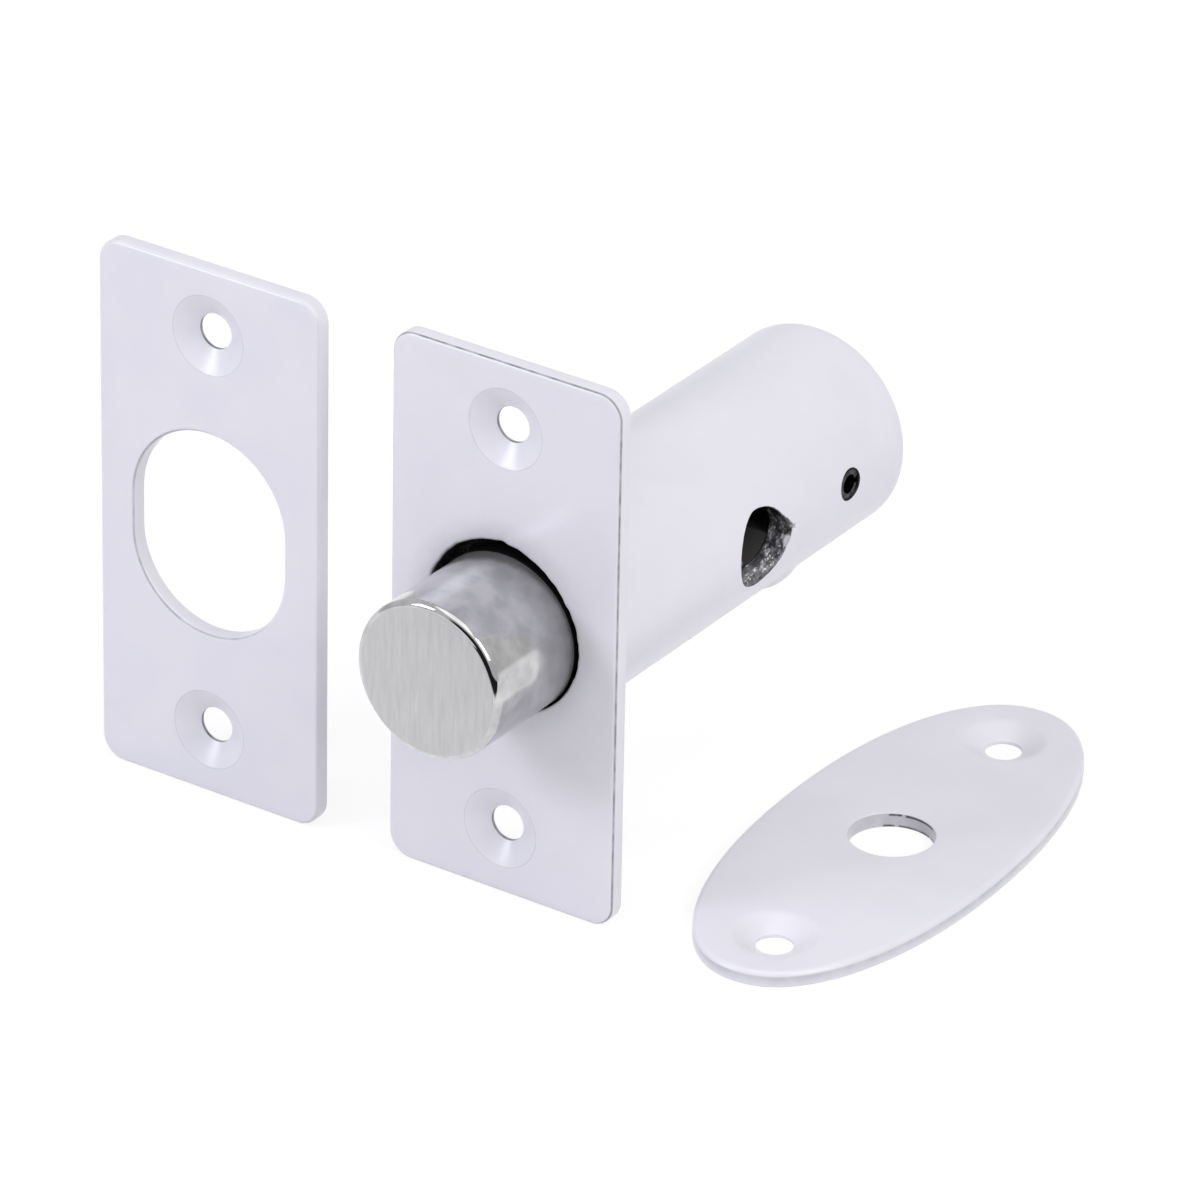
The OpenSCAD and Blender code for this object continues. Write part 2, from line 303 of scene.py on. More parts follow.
def torn(ring, turn):
    """How bright the metal is drawn round the keyhole, and nought where it is coated: the burr is bright,
    and the rest of the bare wall carries painted light below and painted shade above.
    """
    if burr(ring, turn):
        return 0.9
    return 0 if ring < FIRST_TORN_RING or flake(ring, turn) else painted_wall_light(turn)


add_wall(housing_mesh, tube_points(keyhole), torn,
         lambda ring, turn: burr(ring, turn) or ring > FIRST_TORN_RING and not flake(ring, turn))
for hole in pin_holes:
    add_wall(housing_mesh, tube_points(hole), metal=lambda ring, turn: ring > 0)
# The two ends, from the outside in: the rear is coated as far as its bore's broken edge, and the
# front, inside the forend plate, is bare and opens into a short cone.
rear = [(HOUSING_R, rear_start)]
for a in [math.pi / 2 * i / 8 for i in range(1, 9)]:
    rear.append((HOUSING_R - HOUSING_EDGE_R + HOUSING_EDGE_R * math.cos(a),
                 rear_start + HOUSING_EDGE_R * math.sin(a)))
rear += [(BORE_R + 0.6, HOUSING_DEPTH), (BORE_R + 0.25, HOUSING_DEPTH),
         (BORE_R + 0.08, HOUSING_DEPTH - 0.06), (BORE_R, HOUSING_DEPTH - 0.25), (BORE_R, rear_start)]
front = [(HOUSING_R, -SEAT_DEPTH), (MOUTH_R + MOUTH_BREAK, -SEAT_DEPTH),
         (MOUTH_R, -SEAT_DEPTH + MOUTH_BREAK), (MOUTH_R, 0.5), (MOUTH_R, MOUTH_DEPTH - 1.2),
         (MOUTH_R - 0.1, MOUTH_DEPTH - 0.9), (BORE_R + 0.1, MOUTH_DEPTH - 0.1), (BORE_R, MOUTH_DEPTH)]
for profile, first, level in ((rear, 10, 0), (front, 0, 0.6)):
    add_wall(housing_mesh, tube_points([[(a, y, r) for a in angles] for r, y in profile]),
             lambda ring, turn: level, lambda ring, turn: ring >= first)


def linear(code):
    """An sRGB hex colour as Blender's linear one."""
    parts = [int(code[i:i + 2], 16) / 255 for i in (1, 3, 5)]
    return [p / 12.92 if p <= 0.04045 else ((p + 0.055) / 1.055) ** 2.4 for p in parts] + [1]


def add_node(tree, kind, links={}, stops=(), **settings):
    """A node with its settings, its sockets set by name to a value or another node's output, and
    a colour ramp's stops, each of them a place between 0 and 1 with its colour."""
    made = tree.nodes.new(kind)
    for name, value in settings.items():
        setattr(made, name, value)
    if stops:
        elements = made.color_ramp.elements
        for place, colour in stops:
            elements.new(place).color = colour
        elements.remove(elements[0])
        elements.remove(elements[-1])
    for name, value in links.items():
        if isinstance(value, bpy.types.NodeSocket):
            tree.links.new(value, made.inputs[name])
        else:
            made.inputs[name].default_value = value
    return made


def new_material(name):
    made = bpy.data.materials.new(name)
    made.use_nodes = True
    made.node_tree.nodes.clear()
    return made, made.node_tree


def per_mm(count):
    """A pattern's scale, from how many of its grains lie side by side in a millimetre."""
    return count / MM


# White polyester powder coat, baked on in one layer: a faint orange peel about a millimetre
# across and a little lavender in the white. It is drawn towards dark grey in broken patches where
# the mesh's bare attribute says: thin coating round the swaged hole, thin dark lines along rims
# and edges, and painted shade along the top of the escutcheon's side.
def powder_coat(name, base, dark, edge_dark):
    made, tree = new_material(name)
    spot = add_node(tree, "ShaderNodeTexCoord").outputs["Object"]
    mottle = add_node(tree, "ShaderNodeTexNoise", {"Vector": spot, "Scale": per_mm(0.14), "Detail": 2})
    tint = add_node(tree, "ShaderNodeValToRGB", {"Fac": mottle.outputs["Fac"]},
                    stops=((0.35, linear(dark)), (0.65, linear(base))))
    coat_marks = add_node(tree, "ShaderNodeAttribute", attribute_name="bare_and_painted_light")
    patchy = add_node(tree, "ShaderNodeTexNoise", {"Vector": spot, "Scale": per_mm(0.6), "Detail": 3})
    wear = add_node(tree, "ShaderNodeMapRange", {
        "Value": patchy.outputs["Fac"], "From Min": 0.35, "From Max": 0.6, "To Min": 0.6, "To Max": 1.0})
    dark_patches = add_node(tree, "ShaderNodeMath", {0: coat_marks.outputs["Fac"], 1: wear.outputs[0]},
                    operation="MULTIPLY")
    colour = add_node(tree, "ShaderNodeMix", {
        "Factor": dark_patches.outputs[0], "A": tint.outputs["Color"], "B": linear(edge_dark)}, data_type="RGBA")
    peel = add_node(tree, "ShaderNodeTexNoise", {"Vector": spot, "Scale": per_mm(1.1), "Detail": 2})
    bump = add_node(tree, "ShaderNodeBump", {
        "Height": peel.outputs["Fac"], "Strength": 0.12, "Distance": 0.2 * MM})
    surface = add_node(tree, "ShaderNodeBsdfPrincipled", {
        "Base Color": colour.outputs["Result"], "Roughness": 0.28, "IOR": 1.5, "Normal": bump.outputs[0]})
    add_node(tree, "ShaderNodeOutputMaterial", {"Surface": surface.outputs[0]})
    return made


# Bare zinc casting, torn by the drill and dulled by grease: nearly black pits half a millimetre
# across, and bright crests of torn metal. How bright it is drawn follows the mesh's bare
# attribute. Where that is nought, as in the bore and the pin holes, it is nearly black, grease
# and painted shade together, and on the keyhole's wall it carries painted light from below.
def torn_zinc(name):
    made, tree = new_material(name)
    spot = add_node(tree, "ShaderNodeTexCoord").outputs["Object"]
    pits = add_node(tree, "ShaderNodeTexNoise", {
        "Vector": spot, "Scale": per_mm(1.1), "Detail": 4, "Roughness": 0.7})
    brightness = add_node(tree, "ShaderNodeAttribute", attribute_name="bare_and_painted_light")
    level = add_node(tree, "ShaderNodeMath", {0: brightness.outputs["Fac"], 1: 0.44, 2: pits.outputs["Fac"]},
                     operation="MULTIPLY_ADD")
    colour = add_node(tree, "ShaderNodeValToRGB", {"Fac": level.outputs[0]}, stops=(
        (0.42, linear("#121112")), (0.62, linear("#2C2A29")),
        (0.82, linear("#8B8A8E")), (0.98, linear("#D6D6DA"))))
    rough = add_node(tree, "ShaderNodeBump", {
        "Height": pits.outputs["Fac"], "Strength": 0.9, "Distance": 0.3 * MM})
    surface = add_node(tree, "ShaderNodeBsdfPrincipled", {
        "Base Color": colour.outputs["Color"], "Metallic": 0.7, "Roughness": 0.36,
        "Normal": rough.outputs[0]})
    add_node(tree, "ShaderNodeOutputMaterial", {"Surface": surface.outputs[0]})
    return made


coat = powder_coat("white_polyester_powder_coat", "#EAE9EE", "#E7E6EC", "#4A4A50")
zinc_with_painted_light_and_shade = torn_zinc("torn_zinc_with_painted_light_and_shade")
housing = finished(housing_mesh, "Housing", coat, zinc_with_painted_light_and_shade)
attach(housing, "case")
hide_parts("housing")

# Crumbs of torn metal stay on the keyhole's wall where the drill broke through, behind and
# below. They are the casting's own zinc.
CRUMB_STEPS = range(-66, 32)
CRUMB_FIRST_RING = 6
CRUMB_LAST_RING = 14
LONGEST_EDGE = 1.0
NEARLY_A_TURN = 6.28


def scattered_crumbs(material):
    """Node tree that scatters small rough crumbs on the faces it is given."""
    tree = bpy.data.node_groups.new("Scattered crumbs", "GeometryNodeTree")
    tree.interface.new_socket("Surface", in_out="INPUT", socket_type="NodeSocketGeometry")
    for name in ("Number in a square metre", "Smallest radius", "Largest radius"):
        tree.interface.new_socket(name, in_out="INPUT", socket_type="NodeSocketFloat")
    tree.interface.new_socket("Seed", in_out="INPUT", socket_type="NodeSocketInt")
    tree.interface.new_socket("Crumbs", in_out="OUTPUT", socket_type="NodeSocketGeometry")
    given = add_node(tree, "NodeGroupInput").outputs
    spots = add_node(tree, "GeometryNodeDistributePointsOnFaces", {
        "Mesh": given["Surface"], "Density": given["Number in a square metre"], "Seed": given["Seed"]})
    size = add_node(tree, "FunctionNodeRandomValue", {
        2: given["Smallest radius"], 3: given["Largest radius"]}, data_type="FLOAT")
    turned = add_node(tree, "FunctionNodeRandomValue", {1: [NEARLY_A_TURN] * 3},
                      data_type="FLOAT_VECTOR")
    crumb = add_node(tree, "GeometryNodeMeshIcoSphere", {"Radius": 1, "Subdivisions": 1})
    flat = add_node(tree, "GeometryNodeTransform", {
        "Geometry": crumb.outputs["Mesh"], "Scale": (1, 0.7, 0.5)})
    placed = add_node(tree, "GeometryNodeInstanceOnPoints", {
        "Points": spots.outputs["Points"], "Instance": flat.outputs["Geometry"],
        "Rotation": turned.outputs[0], "Scale": size.outputs[1]})
    real = add_node(tree, "GeometryNodeRealizeInstances", {"Geometry": placed.outputs["Instances"]})
    covered = add_node(tree, "GeometryNodeSetMaterial", {
        "Geometry": real.outputs["Geometry"], "Material": material})
    add_node(tree, "NodeGroupOutput", {"Crumbs": covered.outputs["Geometry"]})
    return tree


def grown(name, tree, base, values):
    """The plain mesh that a node tree makes from a base mesh and from values for its inputs."""
    piece = bpy.data.objects.new(name, base)
    bpy.context.scene.collection.objects.link(piece)
    grower = piece.modifiers.new("grow", "NODES")
    grower.node_group = tree
    for socket in tree.interface.items_tree:
        if socket.name in values:
            grower[socket.identifier] = values[socket.name]
    result = bpy.data.meshes.new_from_object(piece.evaluated_get(bpy.context.evaluated_depsgraph_get()))
    piece.modifiers.remove(grower)
    piece.data = result
    return piece


def keyhole_turn(turn):
    """The turn round the keyhole at a turn along the crumbs' base."""
    return (CRUMB_STEPS.start + len(CRUMB_STEPS) * turn) / KEYHOLE_STEPS


# The base is a strip of the keyhole's wall. The quads that close it, and those under the flake of
# coating, come off again.
crumb_mesh = bmesh.new()
strip = [[ring[i % KEYHOLE_STEPS] for i in CRUMB_STEPS]
         for ring in keyhole[CRUMB_FIRST_RING:CRUMB_LAST_RING + 1]]
# The crumbs take the wall's painted light, lighter below and darker above.
add_wall(crumb_mesh, tube_points(strip), lambda ring, turn: 0.2 + painted_wall_light(keyhole_turn(turn)),
         lambda ring, turn: flake(ring + CRUMB_FIRST_RING, keyhole_turn(turn) + 1))
for face in list(crumb_mesh.faces):
    if face.material_index or max(edge.calc_length() for edge in face.edges) > LONGEST_EDGE * MM:
        crumb_mesh.faces.remove(face)
crumb_base = bpy.data.meshes.new("Crumb_base")
crumb_mesh.to_mesh(crumb_base)
crumb_mesh.free()
crumbs = grown("Keyhole_crumbs", scattered_crumbs(zinc_with_painted_light_and_shade), crumb_base, {
    "Number in a square metre": 6.0e6, "Smallest radius": 0.05 * MM, "Largest radius": 0.2 * MM, "Seed": 4})
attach(crumbs, "case")

# The forend plate is blanked from steel strip, countersunk for two wood screws and swaged onto
# the housing's front end, which leaves a soft halo round the bolt hole.
PLATE_W = 26.3
PLATE_H = 57.2
PLATE_T = 1.7
CORNER_R = 2.5
EDGE_R = 0.4
SCREW_GAP = 43.2
SCREW_R = 1.85
SCREW_STEPS = 64
SINK_SHOULDER = 1.1
SINK_R = 4.2
SINK_DEPTH = 1.3


def with_normals(points, side):
    """Each point of a loop drawn anticlockwise with its unit normal: side 1 is a plate's outer
    edge and -1 is a hole's, where the normal points into the hole."""
    made = []
    for i, point in enumerate(points):
        along = (points[(i + 1) % len(points)] - points[i - 1]).normalized()
        made.append((point, side * Vector((along.y, -along.x))))
    return made


def circle(x, y, radius, count):
    """A round hole's loop."""
    turns = [2 * math.pi * i / count for i in range(count)]
    return with_normals([Vector((x + radius * math.cos(a), y + radius * math.sin(a))) for a in turns], -1)


def round_rectangle(width, height, radius):
    points = []
    for quarter, (sx, sy) in enumerate([(1, 1), (-1, 1), (-1, -1), (1, -1)]):
        centre = Vector((sx * (width / 2 - radius), sy * (height / 2 - radius)))
        for step in range(13):
            a = math.pi / 2 * (quarter + step / 12)
            points.append(centre + radius * Vector((math.cos(a), math.sin(a))))
        straight = (height if quarter % 2 else width) - 2 * radius
        along = Vector((-math.sin(a), math.cos(a)))
        count = round(straight)
        points += [points[-1] + along * straight * i / count for i in range(1, count)]
    return with_normals(points, 1)


def plate(mesh, edges, thickness, place, spacing=1.2):
    """A plate between its face and its back. Each edge is a loop, its profile, how dark the
    coating is drawn along it, as thin coating and in some lines as painted shade, and where it has none."""
    for loop, profile, bare_and_painted_light, metal in edges:
        rings = [[place(*(point - normal * inset), depth) for point, normal in loop]
                 for inset, depth in profile]
        add_wall(mesh, rings, bare_and_painted_light, metal)
    for end, depth in ((0, 0), (-1, thickness)):
        loops = [[point - normal * profile[end][0] for point, normal in loop]
                 for loop, profile, *_ in edges]
        fill_sheet(mesh, loops, lambda p: place(p.x, p.y, depth), spacing)


# From the face: a soft shoulder, the cone for the screw's head and a short land.
sink = fillet([(SINK_R - SCREW_R + SINK_SHOULDER, 0), (SINK_R - SCREW_R, 0, 0.4),
               (0, SINK_DEPTH, 0.1), (0, PLATE_T, 0.08), (0.4, PLATE_T)])
rim = fillet([(EDGE_R + 0.6, 0), (0, 0, EDGE_R), (0, PLATE_T, 0.15), (0.6, PLATE_T)], 6)


def darkened_at(levels):
    """Coating drawn darker at the rings of a profile that the levels name, all the way round."""
    return lambda ring, turn: levels.get(ring, 0)


BOLT_R = 8.25
FOREND_HOLE_R = 9.0
FOREND_HOLE_STEPS = 288
HOLE_RAISE = 0.4
SEAT_R = 10.78
SEAT_FADE_TO = 3.5
FADE_W = 1.2
RIM_GAP = 0.1
RIM_DEPTH = 0.7
RIM_DRAWN = 0.55
RIM_DRAWN_UP = 0.6
COARSE_CHIPS = 0.14
FINE_CHIPS = 0.16
DISH_DEPTH = 0.1
DISH_W = 1.1


def forend_place(x, z, depth):
    """A point of the forend plate. The swaging dishes and chips its hole's front rim and draws it
    in on the key's side, and the seat behind it is centred on the bolt."""
    out = math.hypot(x, z - HOLE_RAISE) - FOREND_HOLE_R
    way = Vector((x, z - HOLE_RAISE)).normalized()
    front = max(0, 1 - depth / RIM_DEPTH)
    dish = DISH_DEPTH * math.exp(-(max(0, out) / DISH_W) ** 2)
    chips = COARSE_CHIPS * noise.noise(Vector((2.5 * way.x, 2.5 * way.y, 0)))
    chips += FINE_CHIPS * noise.noise(Vector((9 * way.x, 9 * way.y, 4)))
    drawn = RIM_DRAWN * max(0, way.x) ** 0.5 + RIM_DRAWN_UP * max(0, way.x) * max(0, way.y) - chips
    gap = (Vector((0, HOLE_RAISE)) + FOREND_HOLE_R * way).length - BOLT_R
    way *= -min(drawn, gap - RIM_GAP) * max(0, 1 - max(0, out) / FADE_W) * front
    drop = 0
    if depth > PLATE_T - SEAT_DEPTH - 0.01:
        drop = HOLE_RAISE * min(1, max(0, out / (SEAT_R - FOREND_HOLE_R)))
        drop *= min(1, max(0, (SEAT_FADE_TO - out) / FADE_W))
    return Vector((x + way.x, -PLATE_T + depth + dish * front, z + way.y - drop))


forend_mesh = bmesh.new()
screw_loops = [circle(0, side * SCREW_GAP / 2, SCREW_R, SCREW_STEPS) for side in (-1, 1)]
seat = SEAT_R - FOREND_HOLE_R
mouth = fillet([(2.6, 0), (1.8, 0), (FADE_W, 0), (0.7, 0), (0, 0, 0.35),
                (0, PLATE_T - SEAT_DEPTH, 0.05), (seat, PLATE_T - SEAT_DEPTH), (seat, PLATE_T),
                (seat + 0.5, PLATE_T)])
# The mouth's wall is bare from the first of these rings, and the plate's back starts at the other.
FIRST_BARE_RING = 9
FIRST_BACK_RING = 17


def worn_rim(ring, turn):
    """Coating that thins towards the swaged rim, least on the key's side, and is gone inside."""
    levels = (0, 0.05, 0.1, 0.15, 0.18, 0.22, 0.3, 0.5, 0.8, 0.9)
    if ring > FIRST_BARE_RING:
        return 0.7 * (ring < FIRST_BACK_RING)
    return levels[ring] * (1 - 0.8 * max(0, math.cos(2 * math.pi * turn)))


thin_sink = darkened_at({3: 0.3, 4: 0.2, 9: 0.4, 10: 0.8, 11: 0.9, 12: 0.9, 13: 0.5})
# The forend plate's front edge is drawn with a thin dark line at rings 4 and 5 of its rim.
edges = [(round_rectangle(PLATE_W, PLATE_H, CORNER_R), rim, darkened_at({4: 0.8, 5: 0.7}), coated)]
edges += [(circle(0, HOLE_RAISE, FOREND_HOLE_R, FOREND_HOLE_STEPS), mouth, worn_rim,
           lambda ring, turn: FIRST_BARE_RING <= ring < FIRST_BACK_RING)]
edges += [(loop, sink, thin_sink, coated) for loop in screw_loops]
plate(forend_mesh, edges, PLATE_T, forend_place)
# The hole's bare wall has the same dark, torn finish as the keyhole's.
forend = finished(forend_mesh, "Forend_plate", coat, zinc_with_painted_light_and_shade)
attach(forend, "case")
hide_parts("forend_plate")

# The strike plate is the same blank with a longer hole for the bolt, round at its ends and flat
# at its sides. It is punched, so the coating is thin along the hole's left rim.
STRIKE_X = 34.3
STRIKE_FORWARD = 0.8
STRIKE_HOLE_R = 9.0
STRIKE_HOLE_LENGTH = 21.8
STRIKE_END_STEPS = 90
PUNCHED_TURNS = (0.2, 0.92)
PUNCHED_FADE = 0.12


def long_hole(radius, length, count):
    """A hole's loop with round ends and two upright flats."""
    reach = length / 2 - radius
    right = [Vector((radius, reach * (2 * i / 4 - 1))) for i in range(1, 4)]
    upper = [Vector((radius * math.cos(a), reach + radius * math.sin(a)))
             for a in [math.pi * i / count for i in range(count + 1)]]
    return with_normals(right + upper + [-p for p in right] + [-p for p in upper], -1)


def punched(ring, turn):
    """Coating drawn thin along the hole's left rim, fading out at its top and its bottom."""
    first, last = PUNCHED_TURNS
    fade = max(0, min(1, (turn - first) / PUNCHED_FADE, (last - turn) / PUNCHED_FADE))
    return 0.5 * fade if ring in (4, 5) else 0


strike_mesh = bmesh.new()
strike_mouth = fillet([(1.2, 0), (0.45, 0), (0, 0, 0.4), (0, PLATE_T, 0.12), (0.6, PLATE_T)], 6)
edges = [(round_rectangle(PLATE_W, PLATE_H, CORNER_R), rim, darkened_at({4: 0.12}), coated)]
edges += [(long_hole(STRIKE_HOLE_R, STRIKE_HOLE_LENGTH, STRIKE_END_STEPS), strike_mouth,
           punched, coated)]
edges += [(loop, sink, thin_sink, coated) for loop in screw_loops]
plate(strike_mesh, edges, PLATE_T,
      lambda x, z, depth: Vector((x - STRIKE_X, depth - PLATE_T - STRIKE_FORWARD, z)))
strike = finished(strike_mesh, "Strike_plate", coat)
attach(strike, "case")
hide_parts("strike_plate")

# The oval escutcheon is pressed from steel sheet with a well rounded upper edge, and fixed with
# two wood screws. Where its keyhole is pierced the coating is thin, broken darkly at both rims.
OVAL_LEN = 60.8
OVAL_W = 25.8
OVAL_T = 1.6
OVAL_EDGE_R = 0.6
OVAL_FULLNESS = 2.15
OVAL_STEPS = 240
OVAL_SCREW_GAP = 45.5
OVAL_X = 26.2
OVAL_Y = 27.7
OVAL_TURN = math.radians(3.4)
FLOOR_Z = -PLATE_H / 2


def oval(count):
    points = []
    for i in range(count):
        a = 2 * math.pi * i / count
        x, y = math.cos(a), math.sin(a)
        points.append(Vector((OVAL_W / 2 * math.copysign(abs(x) ** (2 / OVAL_FULLNESS), x),
                              OVAL_LEN / 2 * math.copysign(abs(y) ** (2 / OVAL_FULLNESS), y))))
    return with_normals(points, 1)


def oval_place(x, y, depth):
    return Vector((OVAL_X + x * math.cos(OVAL_TURN) - y * math.sin(OVAL_TURN),
                   OVAL_Y + x * math.sin(OVAL_TURN) + y * math.cos(OVAL_TURN), FLOOR_Z + OVAL_T - depth))


oval_mesh = bmesh.new()
oval_rim = fillet([(1.6, 0), (0, 0, OVAL_EDGE_R), (0, OVAL_T, 0.15), (0.6, OVAL_T)], 8)
oval_sink = fillet([(SINK_R - SCREW_R + SINK_SHOULDER, 0), (SINK_R - SCREW_R, 0, 2.0),
                    (0, SINK_DEPTH, 0.12), (0, OVAL_T, 0.08), (0.4, OVAL_T)])
keyhole_rim = fillet([(0.8, 0), (0, 0, 0.15), (0, 0.28), (0, 0.42), (0, 1.25), (0, OVAL_T, 0.1),
                      (0.5, OVAL_T)])


def pierced(ring, turn):
    """Coating thinned by the punch's way through, with broken dark lines at its two rims."""
    upper = ring in (6, 7) and 0.14 < turn < 0.34
    lower = ring in (10, 11, 12) and 0.1 < turn < 0.36
    if (upper or lower) and noise.noise(Vector((40 * turn, ring // 9, 3))) > -0.25:
        return 1.3
    return 0.3 * (ring > 4)


# The dark line at the top of the oval's side, at rings 8 and 9 of its rim, is painted shade.
edges = [(oval(OVAL_STEPS), oval_rim, darkened_at({8: 0.25, 9: 0.3}), coated)]
edges += [(circle(0, 0, KEYHOLE_R, KEYHOLE_STEPS), keyhole_rim, pierced, coated)]
edges += [(circle(0, side * OVAL_SCREW_GAP / 2, SCREW_R, SCREW_STEPS), oval_sink,
           darkened_at({9: 0.5}), coated) for side in (-1, 1)]
plate(oval_mesh, edges, OVAL_T, oval_place)
escutcheon = finished(oval_mesh, "Escutcheon", coat)
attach(escutcheon, "case")
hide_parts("escutcheon")

# The bolt is turned from steel bar, faced by grinding, milled across for the key and the stop
# pin, and nickel plated. Its nose is bright, and its slots hold old grease, drawn darker still
# as painted shade.
TOOTH_TOP_Z = -2.9
TIP_REACH = 0.15
SKIN_T = 0.08
RUB_AND_SHADE_START_Y = -7.5
RUB_AND_SHADE_END_Y = -1.2
HOLE_SHADE_Y = -0.4
HOLE_SHADE_REACH = 1.27
GREASE_AND_SHADE_END_Y = 46
SCRATCH_LEAN = math.radians(9)


# Bright nickel over turned and ground steel: its round side mirrors the forend plate, softly
# clouded by handling, rubbed dull towards the hole and darkened there as painted shade, with a
# ring of painted shade where it runs in the plate. Its face has fine scratches, nearly upright
# and drawn coarse enough to show.
def bright_nickel(name):
    made, tree = new_material(name)
    spot = add_node(tree, "ShaderNodeTexCoord").outputs["Object"]
    place = add_node(tree, "ShaderNodeSeparateXYZ", {"Vector": spot})
    normal = add_node(tree, "ShaderNodeNewGeometry").outputs["Normal"]
    facing = add_node(tree, "ShaderNodeSeparateXYZ", {"Vector": normal})
    long_way = add_node(tree, "ShaderNodeMapping", {
        "Vector": spot, "Rotation": (0, SCRATCH_LEAN, 0), "Scale": (1, 1, 0.12)})
    scratch = add_node(tree, "ShaderNodeTexNoise", {
        "Vector": long_way.outputs[0], "Scale": per_mm(2.4), "Detail": 4, "Distortion": 0.4})
    face_tint = add_node(tree, "ShaderNodeValToRGB", {"Fac": scratch.outputs["Fac"]},
                         stops=((0.3, linear("#BEBEC1")), (0.7, linear("#CACACA"))))
    cloud = add_node(tree, "ShaderNodeTexNoise", {"Vector": spot, "Scale": per_mm(0.42), "Detail": 4})
    side_tint = add_node(tree, "ShaderNodeValToRGB", {"Fac": cloud.outputs["Fac"]},
                         stops=((0.38, linear("#BBBBBC")), (0.62, linear("#D2D2D2"))))
    # Painted shade darkens the side towards the forend hole, where it is also rubbed dull, and most of all
    # in a ring where it runs inside the plate.
    rubbed_and_shaded = add_node(tree, "ShaderNodeMapRange", {
        "Value": place.outputs["Y"], "From Min": RUB_AND_SHADE_START_Y * MM, "From Max": RUB_AND_SHADE_END_Y * MM,
        "To Min": 0, "To Max": 0.8})
    hole_shade = add_node(tree, "ShaderNodeMath", {
        0: place.outputs["Y"], 1: HOLE_SHADE_Y * MM, 2: HOLE_SHADE_REACH * MM}, operation="COMPARE")
    # Grease lies in the slots, below the skin and behind the forend plate, and they are drawn darker still
    # as painted shade.
    from_axis = add_node(tree, "ShaderNodeVectorMath", {0: spot, 1: (1, 0, 1)}, operation="MULTIPLY")
    radius = add_node(tree, "ShaderNodeVectorMath", {0: from_axis.outputs["Vector"]},
                      operation="LENGTH")
    inner = add_node(tree, "ShaderNodeMath", {
        0: radius.outputs["Value"], 1: (BOLT_R - SKIN_T) * MM}, operation="LESS_THAN")
    behind = add_node(tree, "ShaderNodeMath", {
        0: place.outputs["Y"], 1: GREASE_AND_SHADE_END_Y / 2 * MM, 2: GREASE_AND_SHADE_END_Y / 2 * MM}, operation="COMPARE")
    greased_and_shaded = add_node(tree, "ShaderNodeMath", {0: inner.outputs[0], 1: behind.outputs[0]},
                       operation="MULTIPLY")
    # The key rubs the tops of the teeth bright, and a painted highlight lightens them further.
    tips = add_node(tree, "ShaderNodeMath", {
        0: place.outputs["Z"], 1: TOOTH_TOP_Z * MM, 2: TIP_REACH * MM}, operation="COMPARE")
    level = add_node(tree, "ShaderNodeMath", {0: facing.outputs["Z"], 1: 0.9}, operation="GREATER_THAN")
    rubbed_and_highlighted = add_node(tree, "ShaderNodeMath", {0: tips.outputs[0], 1: level.outputs[0]},
                      operation="MULTIPLY")
    face = add_node(tree, "ShaderNodeMath", {0: facing.outputs["Y"], 1: -0.99}, operation="LESS_THAN")
    colour = add_node(tree, "ShaderNodeMix", {
        "Factor": face.outputs[0], "A": side_tint.outputs["Color"],
        "B": face_tint.outputs["Color"]}, data_type="RGBA")
    # The colours laid over the side: painted shade towards and inside the hole, grease and painted shade in
    # the slots, and a painted highlight on the teeth's tops.
    for share, tone in ((rubbed_and_shaded, "#6A6A6C"), (hole_shade, "#262525"), (greased_and_shaded, "#5C5A58"), (rubbed_and_highlighted, "#DADADA")):
        colour = add_node(tree, "ShaderNodeMix", {
            "Factor": share.outputs[0], "A": colour.outputs["Result"], "B": linear(tone)}, data_type="RGBA")
    dulled = add_node(tree, "ShaderNodeMath", {0: rubbed_and_shaded.outputs[0], 1: 0.2, 2: 0.13},
                      operation="MULTIPLY_ADD")
    edge = add_node(tree, "ShaderNodeMath", {0: facing.outputs["Y"], 1: -0.05}, operation="LESS_THAN")
    rough = add_node(tree, "ShaderNodeMix", {
        "Factor": edge.outputs[0], "A": dulled.outputs[0], "B": 0.06})
    rough = add_node(tree, "ShaderNodeMix", {
        "Factor": face.outputs[0], "A": rough.outputs["Result"], "B": 0.3})
    metal = add_node(tree, "ShaderNodeMath", {0: rubbed_and_shaded.outputs[0], 1: -0.5, 2: 1},
                     operation="MULTIPLY_ADD")
    metal = add_node(tree, "ShaderNodeMath", {0: greased_and_shaded.outputs[0], 1: -0.5, 2: metal.outputs[0]},
                     operation="MULTIPLY_ADD")
    surface = add_node(tree, "ShaderNodeBsdfPrincipled", {
        "Base Color": colour.outputs["Result"], "Metallic": metal.outputs[0],
        "Roughness": rough.outputs["Result"]})
    add_node(tree, "ShaderNodeOutputMaterial", {"Surface": surface.outputs[0]})
    return made


FLAT_ANGLE = math.radians(25)
CAD_MERGE = 0.0005


def smooth_rounds(mesh):
    """Shades a mesh smooth, but for edges that turn by the flat angle or more."""
    for edge in mesh.edges:
        edge.smooth = edge.calc_face_angle(0) < FLAT_ANGLE
    for part in mesh.faces:
        part.smooth = True


def merged_copy(node, name, material):
    """A CAD node's own shape with its doubles merged and its flats and rounds shaded as such."""
    mesh = bmesh.new()
    mesh.from_mesh(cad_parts[node].data)
    bmesh.ops.remove_doubles(mesh, verts=mesh.verts, dist=CAD_MERGE * MM)
    smooth_rounds(mesh)
    data = bpy.data.meshes.new(name)
    mesh.to_mesh(data)
    mesh.free()
    data.materials.append(material)
    piece = bpy.data.objects.new(name, data)
    bpy.context.scene.collection.objects.link(piece)
    weighted = piece.modifiers.new("flats", "WEIGHTED_NORMAL")
    weighted.keep_sharp = True
    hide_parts(node)
    return piece


nickel = bright_nickel("bright_nickel_on_turned_steel")
bolt = merged_copy("bolt", "Bolt", nickel)
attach(bolt, "bolt")

